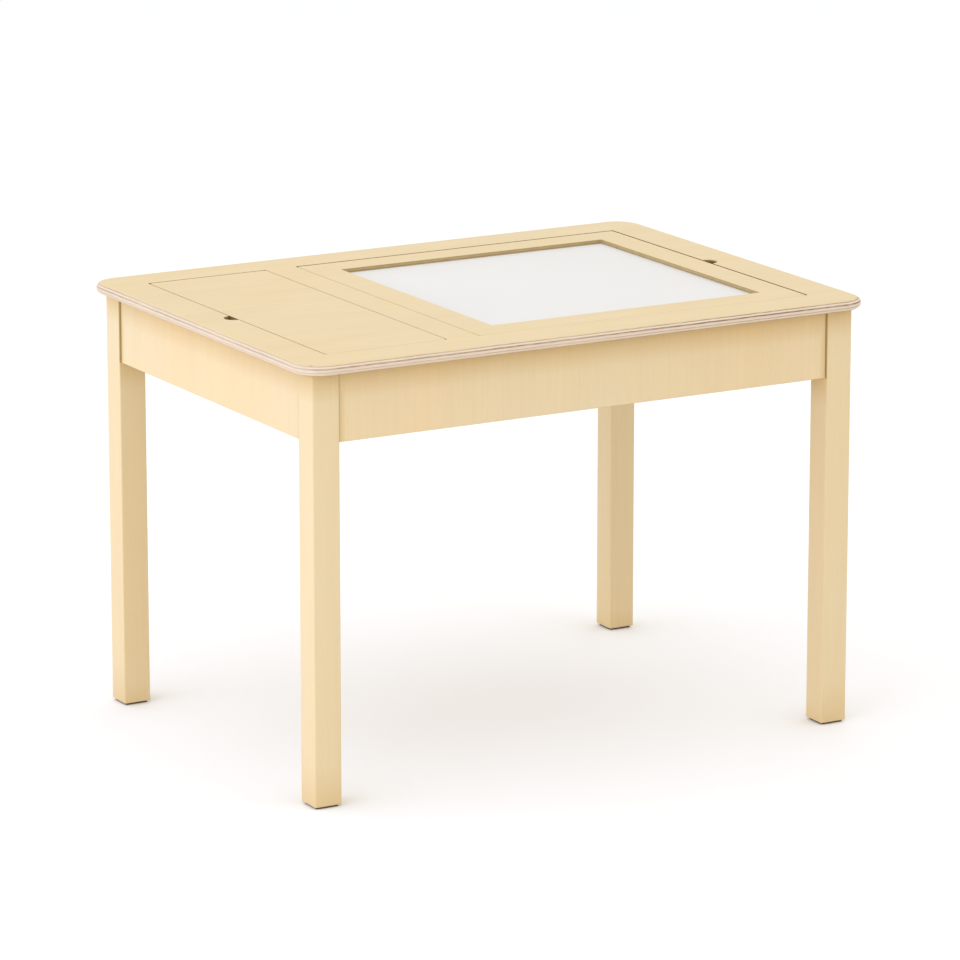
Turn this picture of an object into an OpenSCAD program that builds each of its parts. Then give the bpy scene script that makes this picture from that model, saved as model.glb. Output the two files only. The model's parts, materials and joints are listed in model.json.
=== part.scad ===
// Child's play table: two lift-out lids, flush in the top, over a divided storage well.
// +X is the table's right, +Y its back and +Z up. The origin is the middle of the footprint, on the floor.

/* [Table top] */
// Width of the top, along X
top_w = 898; // [860:1:1000]
// Depth of the top, along Y
top_d = 663; // [620:1:760]
// Thickness of the top's plywood; its edge is a full half round
top_t = 15; // [14:0.5:20]
// Radius of the top's corners in plan
top_corner_r = 40; // [25:1:60]
// How far the top stands out past the legs
overhang = 20; // [14:1:24]

/* [Openings] */
// Width of the fixed frame at the left and right
frame_x = 64; // [62:1:80]
// Width of the fixed frame at the front and back
frame_y = 66; // [62:1:80]
// Width of the left opening, along X
left_opening_w = 188; // [150:1:230]
// Width of the fixed strip between the openings
strip_w = 49; // [40:1:60]
// Radius of the openings' corners
opening_corner_r = 1.5; // [1:0.5:3]
// Radius of the half-round finger notches
notch_r = 14; // [10:0.5:16]

/* [Lids] */
// Gap at the left of the left lid, and half its play between front and back
left_lid_gap = 1.2; // [1:0.1:2]
// Half the right lid's play, from side to side and from front to back
right_lid_gap = 1.7; // [1:0.1:2]
// Gap in front of both lids, which lie towards the front of their openings
lid_front_gap = 0.4; // [0.4:0.1:1]
// Gap between each lid and the fixed strip, which both lids lie towards
lid_strip_gap = 0.7; // [0.4:0.1:1]
// Radius of the lids' corners
lid_corner_r = 5; // [3:0.5:8]
// Width of the right lid's frame round its white panel
lid_border = 47; // [35:1:60]
// Thickness of the white panel
panel_t = 3; // [2:0.5:5]
// Depth of the white panel's face below the lid's face
panel_drop = 6; // [4:0.5:7]
// Gap between the white panel and the walls of its recess
panel_gap = 0.3; // [0.2:0.1:0.6]
// Radius of the recess's corners
recess_corner_r = 2; // [1.5:0.5:6]

/* [Legs] */
// Width of a leg's square section
leg_w = 41; // [37:0.5:44]
// Length of a leg without its pad
leg_l = 601; // [420:1:650]
// Rounding of a leg's long edges
leg_edge_r = 2; // [1:0.5:2.5]
// Thickness of the pad under a leg
pad_t = 3; // [2:0.5:5]
// How far a pad's sides stand in from the leg's sides
pad_inset = 3.5; // [2:0.5:6]

/* [Aprons] */
// Height of the aprons
apron_h = 97; // [90:1:125]
// Thickness of the aprons
apron_t = 18; // [16:0.5:20]
// How far the aprons stand in from the legs' outer faces
apron_setback = 3; // [3:0.5:5]
// Rounding of the aprons' lower edges
apron_edge_r = 1.5; // [1:0.5:3]

/* [Storage] */
// Height of the ledges that carry the lids
ledge_h = 15; // [12:0.5:18]
// How far the ledges reach under the lids
ledge_reach = 10; // [8:0.5:12]
// Thickness of the storage floor
floor_t = 6; // [5:0.5:8]
// Height of the storage floor's underside above the aprons' lower edges
floor_up = 10; // [8:0.5:14]
// Depth of the floor's grooves in the aprons
groove_depth = 6; // [4:0.5:8]
// Thickness of the divider between the wells
divider_t = 12; // [9:0.5:16]
// Depth of the divider's housings in the aprons
housing_depth = 5; // [3:0.5:7]
// Gap between a board and the groove or housing that holds it
board_gap = 0.15; // [0.1:0.05:0.3]
// Gap between the storage floor and the legs
floor_leg_gap = 1; // [0.5:0.25:3]

/* [Corner hardware] */
// Height of a corner bracket
bracket_h = 44; // [38:1:48]
// Thickness of a corner bracket's steel
bracket_t = 2; // [1.5:0.25:3]
// Gap between a leg's inner edge and its bracket
bracket_leg_gap = 6; // [4:0.5:10]
// Length of a bracket's flange along an apron
flange_l = 24; // [20:1:30]
// Radius of the hanger bolts
bolt_r = 4; // [3:0.5:5]
// Depth of a hanger bolt in its leg
bolt_depth = 32; // [24:1:36]
// Length of bolt that stands out past its nut
bolt_tip = 2.5; // [1:0.5:5]
// Radius of the washers
washer_r = 9; // [8.5:0.5:11]
// Thickness of the washers
washer_t = 1.6; // [1:0.1:2.5]
// Half the distance between two opposite corners of a nut
nut_r = 7.5; // [7:0.1:8.5]
// Thickness of the nuts
nut_t = 6.5; // [5:0.5:8]
// Radial gap between a bolt and a hole that it passes through
bolt_gap = 0.3; // [0.2:0.05:0.6]
// Radial gap between a threaded bolt and its hole or nut
thread_gap = 0.05; // [0.03:0.01:0.1]

/* [Screws] */
// Radius of the screws' shanks
screw_r = 2; // [1.5:0.25:2.5]
// Radius of the screws' heads
screw_head_r = 3.8; // [3.5:0.1:4.5]
// Height of the screws' heads
screw_head_h = 2.4; // [2:0.1:3]
// Radius of the outer face of a bracket screw's head
screw_dome_r = 2.8; // [2.5:0.1:3.3]
// Length of the shanks of the bracket screws
bracket_screw_l = 14; // [10:0.5:15]
// Length of the ledge screws, head included
ledge_screw_l = 24; // [20:0.5:26]
// Distance from a bracket's middle height to its screws
bracket_screw_rise = 12; // [8:0.5:14]
// Distance from an opening's corner to the nearest ledge screw
ledge_screw_end = 30; // [20:1:50]
// Distance from a finger notch's middle to the nearest ledge screw
notch_screw_gap = 80; // [40:1:110]
// Width of a screw's cross recess
recess_w = 0.9; // [0.7:0.1:1.2]
// Depth of a screw's cross recess
recess_depth = 1.2; // [0.8:0.1:1.5]

/* [Colours] */
// Veneered faces of the top and lids
top_colour = "#F0DAB0"; // [#F0DAB0, #E8CFA0, #F5E4C4]
// Legs and aprons
frame_colour = "#E8CFA2"; // [#E8CFA2, #DDBF8C, #F2DFBC]
// Boards and ledges inside
inner_colour = "#DFC596"; // [#DFC596, #D2B37E, #EAD6B0]
// White panel
panel_colour = "#F1F0EC"; // [#F1F0EC, #FFFFFF, #E4E2DC]
// Foot pads
pad_colour = "#4A423B"; // [#4A423B, #2E2A27, #6B6259]
// Brackets, bolts and screws
steel_colour = "#B9BDC1"; // [#B9BDC1, #8F9499, #D5D8DA]

/* [Hidden] */
$fn = 48;
// Length by which a cutting solid runs past the face that it opens
past = 1;
// The four corners, in the order front left, front right, back right and back left:
// the signs of X and Y, and the turn that brings a corner's own axes to the table's middle
CORNERS = [[-1, -1, 0], [1, -1, 90], [1, 1, 180], [-1, 1, 270]];

// Heights
top_z = pad_t + leg_l;
apron_z = top_z - apron_h;
floor_z = apron_z + floor_up;
well_z = floor_z + floor_t;
ledge_z = top_z - ledge_h;
bolt_z = (well_z + ledge_z) / 2;

// Half distances from the middle to the legs' outer faces, the legs' inner faces and the aprons' inner faces
leg_out_x = top_w / 2 - overhang;
leg_out_y = top_d / 2 - overhang;
leg_in_x = leg_out_x - leg_w;
leg_in_y = leg_out_y - leg_w;
apron_in_x = leg_out_x - apron_setback - apron_t;
apron_in_y = leg_out_y - apron_setback - apron_t;

// Openings: left edge, right edge and middle of each, their depth, and the middle of the strip between them
left_x0 = -top_w / 2 + frame_x;
left_x1 = left_x0 + left_opening_w;
right_x0 = left_x1 + strip_w;
right_x1 = top_w / 2 - frame_x;
left_opening_x = (left_x0 + left_x1) / 2;
right_opening_x = (right_x0 + right_x1) / 2;
right_opening_w = right_x1 - right_x0;
opening_d = top_d - 2 * frame_y;
strip_x = (left_x1 + right_x0) / 2;

// Lids
left_lid_w = left_opening_w - left_lid_gap - lid_strip_gap;
right_lid_w = right_opening_w - 2 * right_lid_gap;
left_lid_d = opening_d - 2 * left_lid_gap;
right_lid_d = opening_d - 2 * right_lid_gap;
left_lid_x = left_x1 - lid_strip_gap - left_lid_w / 2;
right_lid_x = right_x0 + lid_strip_gap + right_lid_w / 2;
left_lid_y = lid_front_gap - left_lid_gap;
right_lid_y = lid_front_gap - right_lid_gap;
recess_w_x = right_lid_w - 2 * lid_border;
recess_w_y = right_lid_d - 2 * lid_border;
panel_z = top_z + top_t - panel_drop - panel_t;

// Ledges: half the depth between the front and back ledges, and the inner edges of the side ledges
ledge_in_y = opening_d / 2 - ledge_reach;
ledge_left_x1 = left_x0 + ledge_reach;
ledge_right_x0 = right_x1 - ledge_reach;

// Corner hardware, along a corner's own axes from the meeting of the two aprons' inner faces
leg_corner = leg_w - apron_setback - apron_t;
bracket_reach = 2 * leg_corner + bracket_leg_gap * sqrt(2);
half_bend = 45 / 2;
bend_shift = bracket_t * tan(half_bend);
plate_s = bracket_leg_gap;
washer_s = plate_s + bracket_t;
nut_s = washer_s + washer_t;
bolt_end_s = nut_s + nut_t + bolt_tip;
flange_screw_x = bracket_reach + bend_shift + (flange_l - bend_shift) / 2;

// Ledge screws: their lines along the ledges and their places along those lines
end_line_y = (apron_in_y + opening_d / 2) / 2;
left_line_x = (left_x0 - apron_in_x) / 2;
right_line_x = (right_x1 + apron_in_x) / 2;
strip_line_gap = (strip_w / 2 + divider_t / 2) / 2;
end_screw_xs = [
    left_x0 + ledge_screw_end,
    left_x1 - ledge_screw_end,
    right_x0 + ledge_screw_end,
    right_opening_x,
    right_x1 - ledge_screw_end
];
side_screw_ys = [
    -opening_d / 2 + 2 * ledge_screw_end,
    -notch_screw_gap,
    notch_screw_gap,
    opening_d / 2 - 2 * ledge_screw_end
];

// ---- shared shapes ----

// Flat rectangle with rounded corners, centred
module rounded_rect(w, d, r) {
    square([w - 2 * r, d], center = true);
    square([w, d - 2 * r], center = true);
    for (sx = [-1, 1], sy = [-1, 1])
        translate([sx * (w / 2 - r), sy * (d / 2 - r)])
            circle(r);
}

module rounded_plate(w, d, h, r) {
    linear_extrude(h)
        rounded_rect(w, d, r);
}

// Box given by its lowest corner and its highest corner
module span(low, high) {
    translate(low)
        cube(high - low);
}

// Section through the top's rim: flat inside, a half round at the edge
module rim_section(reach) {
    square([reach - top_t / 2, top_t]);
    translate([reach - top_t / 2, top_t / 2])
        difference() {
            circle(top_t / 2);
            translate([-top_t, -top_t])
                square([top_t, 2 * top_t]);
        }
}

// Straight stretch of rim, standing out along +Y, centred along X
module rim_bar(length) {
    translate([length / 2, 0, 0])
        rotate([90, 0, -90])
            linear_extrude(length)
                mirror([1, 0])
                    rim_section(top_corner_r);
}

// The whole top before anything is cut in it
module rimmed_board() {
    core_w = top_w - 2 * top_corner_r;
    core_d = top_d - 2 * top_corner_r;
    translate([-core_w / 2, -core_d / 2, 0])
        cube([core_w, core_d, top_t]);
    for (side = [0, 180])
        rotate(side) {
            translate([0, core_d / 2, 0])
                rim_bar(core_w);
            translate([core_w / 2, 0, 0])
                rotate(-90)
                    rim_bar(core_d);
            translate([core_w / 2, core_d / 2, 0])
                rotate_extrude(angle = 90)
                    rim_section(top_corner_r);
            translate([-core_w / 2, core_d / 2, 0])
                rotate(90)
                    rotate_extrude(angle = 90)
                        rim_section(top_corner_r);
        }
}

// Children drawn at a table corner, their +X and +Y along the aprons' inner faces
module at_corner(corner) {
    translate([corner[0] * apron_in_x, corner[1] * apron_in_y, 0])
        rotate(corner[2])
            children();
}

// Children drawn on a corner's bolt axis: +Z runs out of the leg's inner edge to the table's middle
module on_bolt_axis(corner, along) {
    at_corner(corner)
        translate([leg_corner, leg_corner, bolt_z])
            rotate([90, 0, 135])
                translate([0, 0, along])
                    children();
}

// Children drawn at each screw of the ledges, +Z into the ledge from its lower face
module at_ledge_screws() {
    for (sy = [-1, 1], x = end_screw_xs)
        translate([x, sy * end_line_y, ledge_z])
            children();
    for (x = [left_line_x, right_line_x], y = side_screw_ys)
        translate([x, y, ledge_z])
            children();
    for (sx = [-1, 1], sy = [-1, 1])
        translate([strip_x + sx * strip_line_gap, sy * notch_screw_gap, ledge_z])
            children();
}

// Children drawn at each screw of one bracket, +Z into the apron from the flange's face
module at_bracket_screws(corner) {
    for (rise = [-bracket_screw_rise, bracket_screw_rise])
        at_corner(corner) {
            translate([flange_screw_x, bracket_t, bolt_z + rise])
                rotate([90, 0, 0])
                    children();
            translate([bracket_t, flange_screw_x, bolt_z + rise])
                rotate([0, -90, 0])
                    children();
        }
}

// Cross recess, cut down from the plane z = 0
module cross_recess() {
    arm = screw_head_r;
    for (turn = [0, 90])
        rotate(turn)
            translate([-arm / 2, -recess_w / 2, -past])
                cube([arm, recess_w, past + recess_depth]);
}

// Countersunk screw, or with slack the hole that it sits in; its head's face is at z = 0
module flat_screw(length, slack = 0) {
    cylinder(h = screw_head_h, r1 = screw_head_r + slack, r2 = screw_r + slack);
    cylinder(h = length + slack, r = screw_r + slack);
}

// Hole for a ledge screw, open at its lower end
module ledge_screw_hole() {
    flat_screw(ledge_screw_l, thread_gap);
    translate([0, 0, -past])
        cylinder(h = past, r = screw_head_r + thread_gap);
}

// ---- top and lids ----

module table_top() {
    color(top_colour)
        difference() {
            translate([0, 0, top_z])
                rimmed_board();
            translate([left_opening_x, 0, top_z - past])
                rounded_plate(left_opening_w, opening_d, top_t + 2 * past, opening_corner_r);
            translate([right_opening_x, 0, top_z - past])
                rounded_plate(right_opening_w, opening_d, top_t + 2 * past, opening_corner_r);
            for (x = [left_x0, right_x1])
                translate([x, 0, top_z - past])
                    cylinder(h = top_t + 2 * past, r = notch_r);
            at_ledge_screws()
                ledge_screw_hole();
        }
}

module lid_left() {
    color(top_colour)
        translate([left_lid_x, left_lid_y, top_z])
            rounded_plate(left_lid_w, left_lid_d, top_t, lid_corner_r);
}

module lid_right() {
    color(top_colour)
        translate([right_lid_x, right_lid_y, 0])
            difference() {
                translate([0, 0, top_z])
                    rounded_plate(right_lid_w, right_lid_d, top_t, lid_corner_r);
                translate([0, 0, panel_z])
                    rounded_plate(recess_w_x, recess_w_y, top_t, recess_corner_r);
            }
}

module white_panel() {
    panel_w_x = recess_w_x - 2 * panel_gap;
    panel_w_y = recess_w_y - 2 * panel_gap;
    color(panel_colour)
        translate([right_lid_x, right_lid_y, panel_z])
            rounded_plate(panel_w_x, panel_w_y, panel_t, recess_corner_r - panel_gap);
}

// ---- legs and pads ----

module leg(corner) {
    color(frame_colour)
        difference() {
            at_corner(corner)
                translate([leg_corner - leg_w / 2, leg_corner - leg_w / 2, pad_t])
                    rounded_plate(leg_w, leg_w, leg_l, leg_edge_r);
            on_bolt_axis(corner, -bolt_depth - past)
                cylinder(h = bolt_depth + 2 * past, r = bolt_r + thread_gap);
        }
}

module leg_front_left() { leg(CORNERS[0]); }
module leg_front_right() { leg(CORNERS[1]); }
module leg_back_right() { leg(CORNERS[2]); }
module leg_back_left() { leg(CORNERS[3]); }

module pad(corner) {
    pad_w = leg_w - 2 * pad_inset;
    color(pad_colour)
        at_corner(corner)
            translate([leg_corner - leg_w / 2, leg_corner - leg_w / 2, 0])
                rounded_plate(pad_w, pad_w, pad_t, leg_edge_r);
}

module pad_front_left() { pad(CORNERS[0]); }
module pad_front_right() { pad(CORNERS[1]); }
module pad_back_right() { pad(CORNERS[2]); }
module pad_back_left() { pad(CORNERS[3]); }

// ---- aprons ----

// Section of an apron: X from its outer face inwards, Y up from its lower edge, with the floor's groove
module apron_section() {
    difference() {
        union() {
            translate([0, apron_edge_r])
                square([apron_t, apron_h - apron_edge_r]);
            translate([apron_edge_r, 0])
                square([apron_t - 2 * apron_edge_r, apron_edge_r]);
            for (x = [apron_edge_r, apron_t - apron_edge_r])
                translate([x, apron_edge_r])
                    circle(apron_edge_r);
        }
        translate([apron_t - groove_depth, floor_up - board_gap])
            square([groove_depth + past, floor_t + 2 * board_gap]);
    }
}

// Apron board along X, centred, with its inner face on y = 0 and its outer face towards -Y
module apron_board(length) {
    translate([-length / 2, -apron_t, apron_z])
        rotate([90, 0, 90])
            linear_extrude(length)
                apron_section();
}

// Front or back apron: side is -1 or 1
module long_apron(side) {
    housing_w = divider_t + 2 * board_gap;
    color(frame_colour)
        difference() {
            translate([0, side * apron_in_y, 0])
                rotate(side < 0 ? 0 : 180)
                    apron_board(2 * leg_in_x);
            translate([strip_x, side * apron_in_y, (well_z + ledge_z) / 2])
                cube([housing_w, 2 * housing_depth, ledge_z - well_z + 2 * board_gap], center = true);
            for (corner = CORNERS)
                at_bracket_screws(corner)
                    bracket_screw(thread_gap);
        }
}

// Left or right apron: side is -1 or 1
module short_apron(side) {
    color(frame_colour)
        difference() {
            translate([side * apron_in_x, 0, 0])
                rotate(side * 90)
                    apron_board(2 * leg_in_y);
            for (corner = CORNERS)
                at_bracket_screws(corner)
                    bracket_screw(thread_gap);
        }
}

module apron_front() { long_apron(-1); }
module apron_back() { long_apron(1); }
module apron_left() { short_apron(-1); }
module apron_right() { short_apron(1); }

// ---- storage ----

module ledge(low, high) {
    color(inner_colour)
        difference() {
            span([low[0], low[1], ledge_z], [high[0], high[1], top_z]);
            for (x = [left_x0, right_x1])
                translate([x, 0, ledge_z - past])
                    cylinder(h = ledge_h + 2 * past, r = notch_r);
            at_ledge_screws()
                ledge_screw_hole();
        }
}

module ledge_front() { ledge([-leg_in_x, -apron_in_y], [leg_in_x, -ledge_in_y]); }
module ledge_back() { ledge([-leg_in_x, ledge_in_y], [leg_in_x, apron_in_y]); }
module ledge_left() { ledge([-apron_in_x, -ledge_in_y], [ledge_left_x1, ledge_in_y]); }
module ledge_right() { ledge([ledge_right_x0, -ledge_in_y], [apron_in_x, ledge_in_y]); }
module ledge_centre() { ledge([left_x1 - ledge_reach, -ledge_in_y], [right_x0 + ledge_reach, ledge_in_y]); }

module divider() {
    end_y = apron_in_y + housing_depth - board_gap;
    color(inner_colour)
        span([strip_x - divider_t / 2, -end_y, well_z], [strip_x + divider_t / 2, end_y, ledge_z]);
}

module storage_floor() {
    end_x = apron_in_x + groove_depth - board_gap;
    end_y = apron_in_y + groove_depth - board_gap;
    cut = leg_corner + floor_leg_gap;
    color(inner_colour)
        difference() {
            span([-end_x, -end_y, floor_z], [end_x, end_y, well_z]);
            for (corner = CORNERS)
                at_corner(corner)
                    span([-groove_depth - past, -groove_depth - past, floor_z - past], [cut, cut, well_z + past]);
        }
}

// ---- corner hardware ----

// Bent plate across a corner: a flange along each apron and a diagonal between them
module bracket(corner) {
    tip = bracket_reach + flange_l;
    bend = bracket_reach + bend_shift;
    color(steel_colour)
        difference() {
            at_corner(corner)
                translate([0, 0, bolt_z - bracket_h / 2])
                    linear_extrude(bracket_h)
                        polygon([
                            [tip, 0], [bracket_reach, 0], [0, bracket_reach], [0, tip],
                            [bracket_t, tip], [bracket_t, bend], [bend, bracket_t], [tip, bracket_t]
                        ]);
            on_bolt_axis(corner, plate_s - past)
                cylinder(h = bracket_t + 2 * past, r = bolt_r + bolt_gap);
            at_bracket_screws(corner)
                translate([0, 0, -past])
                    cylinder(h = bracket_t + 2 * past, r = screw_r + thread_gap);
        }
}

module bracket_front_left() { bracket(CORNERS[0]); }
module bracket_front_right() { bracket(CORNERS[1]); }
module bracket_back_right() { bracket(CORNERS[2]); }
module bracket_back_left() { bracket(CORNERS[3]); }

module hanger_bolts() {
    color(steel_colour)
        for (corner = CORNERS)
            on_bolt_axis(corner, -bolt_depth)
                cylinder(h = bolt_depth + bolt_end_s, r = bolt_r);
}

module bolt_washers() {
    color(steel_colour)
        for (corner = CORNERS)
            on_bolt_axis(corner, washer_s)
                difference() {
                    cylinder(h = washer_t, r = washer_r);
                    translate([0, 0, -past])
                        cylinder(h = washer_t + 2 * past, r = bolt_r + bolt_gap);
                }
}

module bolt_nuts() {
    color(steel_colour)
        for (corner = CORNERS)
            on_bolt_axis(corner, nut_s)
                difference() {
                    cylinder(h = nut_t, r = nut_r, $fn = 6);
                    translate([0, 0, -past])
                        cylinder(h = nut_t + 2 * past, r = bolt_r + thread_gap);
                }
}

// Domed screw, or with slack its hole in the apron; z = 0 is the flange's face, and the shank runs along +Z
module bracket_screw(slack = 0) {
    shank = bracket_t + bracket_screw_l;
    cylinder(h = shank + slack, r = screw_r + slack);
}

module bracket_screws() {
    color(steel_colour)
        for (corner = CORNERS)
            at_bracket_screws(corner) {
                bracket_screw();
                difference() {
                    translate([0, 0, -screw_head_h])
                        cylinder(h = screw_head_h, r1 = screw_dome_r, r2 = screw_head_r);
                    translate([0, 0, -screw_head_h])
                        cross_recess();
                }
            }
}

module ledge_screws() {
    color(steel_colour)
        at_ledge_screws()
            difference() {
                flat_screw(ledge_screw_l);
                cross_recess();
            }
}

table_top();
lid_left();
lid_right();
white_panel();
leg_front_left();
leg_front_right();
leg_back_right();
leg_back_left();
pad_front_left();
pad_front_right();
pad_back_right();
pad_back_left();
apron_front();
apron_back();
apron_left();
apron_right();
ledge_front();
ledge_back();
ledge_left();
ledge_right();
ledge_centre();
divider();
storage_floor();
bracket_front_left();
bracket_front_right();
bracket_back_right();
bracket_back_left();
hanger_bolts();
bolt_washers();
bolt_nuts();
bracket_screws();
ledge_screws();
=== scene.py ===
import json
import math

import bmesh
import bpy
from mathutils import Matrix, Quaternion, Vector

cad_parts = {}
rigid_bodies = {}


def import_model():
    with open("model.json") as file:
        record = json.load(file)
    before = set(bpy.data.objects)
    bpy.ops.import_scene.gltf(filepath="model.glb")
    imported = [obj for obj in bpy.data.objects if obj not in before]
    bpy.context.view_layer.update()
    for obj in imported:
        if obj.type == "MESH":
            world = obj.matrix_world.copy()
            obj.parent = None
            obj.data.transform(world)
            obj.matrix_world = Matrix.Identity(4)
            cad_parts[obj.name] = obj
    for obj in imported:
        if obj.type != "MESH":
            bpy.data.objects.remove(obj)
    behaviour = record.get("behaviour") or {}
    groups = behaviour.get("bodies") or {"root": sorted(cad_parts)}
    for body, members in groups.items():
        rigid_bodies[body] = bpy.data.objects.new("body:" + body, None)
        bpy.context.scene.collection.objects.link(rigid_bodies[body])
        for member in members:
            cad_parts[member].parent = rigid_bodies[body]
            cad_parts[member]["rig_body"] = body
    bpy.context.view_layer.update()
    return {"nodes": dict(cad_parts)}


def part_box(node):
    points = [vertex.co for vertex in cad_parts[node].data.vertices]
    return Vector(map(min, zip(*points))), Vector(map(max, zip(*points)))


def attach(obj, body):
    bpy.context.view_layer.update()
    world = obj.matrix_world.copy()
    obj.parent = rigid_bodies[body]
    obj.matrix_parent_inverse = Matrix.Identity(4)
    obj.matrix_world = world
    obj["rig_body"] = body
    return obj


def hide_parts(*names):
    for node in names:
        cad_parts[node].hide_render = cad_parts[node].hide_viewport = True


bl_info = {
    "name": "Child's play table",
    "version": (1, 0, 0),
    "blender": (4, 5, 0),
    "location": "View3D > Sidebar > Play table",
    "description": "Finishes a child's play table: eased boards, threaded fasteners, wood and steel",
    "category": "Object",
}

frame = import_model()

MM = 0.001
X, Y, Z = 0, 1, 2
CORNERS = ("front_left", "front_right", "back_right", "back_left")


# ---- what a user would change ----


def amount(name, description, value, **settings):
    return bpy.props.FloatProperty(name=name, description=description, default=value, **settings)


def size(name, description, value):
    return amount(name, description, value, min=0, unit="LENGTH")


def degrees(name, description, value):
    return amount(name, description, math.radians(value), subtype="ANGLE")


class PlayTableSizes(bpy.types.PropertyGroup):
    arris: size("Arris", "Rounding of the sharp edges of aprons, ledges and inner boards", 0.15 * MM)
    opening_edge: size("Opening edge", "Rounding of the edges of the top's openings", 0.05 * MM)
    lid_edge: size("Lid edge", "Rounding of the lids' edges", 0.35 * MM)
    groove: size("Groove", "Rounding of an apron's edge where it meets a leg", 2 * MM)
    # The next four sizes place painted shade: under the top, beside a leg, in a joint, and along an apron's
    # lower edge
    shelter: size("Shelter", "How far the deeper colour reaches below the top", 40 * MM)
    joint_shelter: size("Joint shelter", "How far the deeper colour reaches from a leg", 10 * MM)
    joint_lip: size("Joint lip", "How far the toned joint stays behind a leg's outer faces", 0.3 * MM)
    edge_line: size("Edge line", "Height of the deeper colour along an apron's lower edge", 1.2 * MM)
    leg_edge: size("Leg edge", "Rounding of the legs' long edges", 2 * MM)
    leg_end: size("Leg end", "Chamfer at a leg's ends", 0.8 * MM)
    pad_edge: size("Pad edge", "Chamfer round the foot pads", 0.5 * MM)
    bolt_room: size("Bolt room", "Room round a bolt in its leg", 0.05 * MM)
    steel_edge: size("Steel edge", "Easing of brackets, washers and heads", 0.2 * MM)
    bend: size("Bend", "Inner radius of the brackets' bends", 1.5 * MM)
    ply_wave: size("Ply wave", "How far a ply's edge strays from its line", 0.3 * MM)
    thread_depth: size("Thread depth", "Depth of the bolts' machine thread", 0.7 * MM)
    thread_pitch: size("Thread pitch", "Pitch of the bolts' machine thread", 1.25 * MM)
    machine_length: size("Machine thread", "Length of the bolts' machine thread", 18 * MM)
    plain_length: size("Plain shank", "Length of shank between the bolts' two threads", 3 * MM)
    lag_depth: size("Lag depth", "Depth of the bolts' wood thread", 1.1 * MM)
    lag_pitch: size("Lag pitch", "Pitch of the bolts' wood thread", 3 * MM)
    screw_depth: size("Screw thread depth", "Depth of the screws' thread", 0.65 * MM)
    screw_pitch: size("Screw pitch", "Pitch of the screws' thread", 2 * MM)
    head_height: size("Head height", "Height of the screws' heads", 2.4 * MM)
    recess_width: size("Recess width", "Width of the screws' cross recess", 0.9 * MM)
    recess_depth: size("Recess depth", "Depth of the screws' cross recess", 1.2 * MM)


def colour(name, description, value):
    return bpy.props.FloatVectorProperty(
        name=name, description=description, default=value, subtype="COLOR", size=3, min=0, max=1
    )


class PlayTableColours(bpy.types.PropertyGroup):
    veneer: colour("Veneer", "Face of the top and lids", (0.664, 0.518, 0.282))
    light_ply: colour("Light ply", "Long-grain plies at a plywood edge", (0.728, 0.583, 0.424))
    dark_ply: colour("Dark ply", "End-grain plies at a plywood edge", (0.25, 0.165, 0.115))
    # Painted shade: the sawn walls of the openings and lids are darkened so the narrow seams round the lids
    # read dark
    browned: colour("Browned edge", "Sawn edges of the openings and lids", (0.25, 0.14, 0.012))
    # Painted shade on the walls of the recess and notches and in the legs' joints
    toned: colour("Toned edge", "Edges of the recess, notches and legs' joints", (0.385, 0.268, 0.098))
    # Painted shade: wood under the top, beside and inside the joints and at the feet is multiplied by this
    sheltered: colour("Sheltered", "What sheltered wood is multiplied by", (0.865, 0.765, 0.56))
    leg: colour("Leg", "Solid wood of the legs", (0.702, 0.55, 0.32))
    apron: colour("Apron", "Face of the aprons", (0.71, 0.549, 0.318))
    inner: colour("Inner", "Ledges and boards inside", (0.62, 0.49, 0.31))
    white: colour("White", "White panel", (0.686, 0.675, 0.648))
    felt: colour("Felt", "Foot pads", (0.08, 0.054, 0.03))
    zinc: colour("Zinc", "Brackets, bolts and screws", (0.62, 0.63, 0.65))
    floor: colour("Floor", "Studio floor", (0.9, 0.9, 0.9))


class PlayTableStudio(bpy.types.PropertyGroup):
    azimuth: degrees("Azimuth", "Camera's bearing; negative to the left", -29.8)
    elevation: degrees("Elevation", "Camera's height above the horizon", 13.93)
    distance: size("Distance", "From the camera to what it looks at", 7.95)
    target: bpy.props.FloatVectorProperty(
        name="Target", description="Where the camera looks", default=(0.0442, 0.0666, 0.3215), subtype="XYZ"
    )
    focal_length: amount("Focal length", "Camera's lens", 207.2, unit="CAMERA")
    sky: amount("Sky", "Strength of the white surroundings", 1.09)
    side_colour: colour("Side colour", "Colour of the light at the side", (0.67, 0.74, 1.0))
    side_azimuth: degrees("Side azimuth", "Bearing of the light at the side", -80)
    side_elevation: degrees("Side elevation", "Height above the horizon of the light at the side", 15)
    side_width: size("Side width", "Width of the light at the side", 5.0)
    side_height: size("Side height", "Height of the light at the side", 1.6)
    side_power: amount("Side power", "Power of the light at the side", 55, unit="POWER")
    overhead_size: size("Overhead size", "Side of the light overhead", 5.0)
    overhead_power: amount("Overhead power", "Power of the light overhead", 22, unit="POWER")
    light_distance: size("Light distance", "From both lights to the table", 3.5)
    floor_size: size("Floor size", "Side of the studio floor", 80)


# ---- nodes, for materials and for shapes ----


def arithmetic(operation):
    """A method that gives a Math node of a value and what it is used with."""
    return lambda *values: compute(operation, *values)


class Value:
    """What a node's output gives. Arithmetic with it adds Math nodes to its tree."""

    def __init__(self, tree, socket):
        self.tree = tree
        self.socket = socket

    def __rsub__(self, other):
        return compute("SUBTRACT", other, self)

    __add__ = arithmetic("ADD")
    __sub__ = arithmetic("SUBTRACT")
    __mul__ = arithmetic("MULTIPLY")
    __truediv__ = arithmetic("DIVIDE")
    __gt__ = arithmetic("GREATER_THAN")
    __lt__ = arithmetic("LESS_THAN")
    __abs__ = arithmetic("ABSOLUTE")


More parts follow.
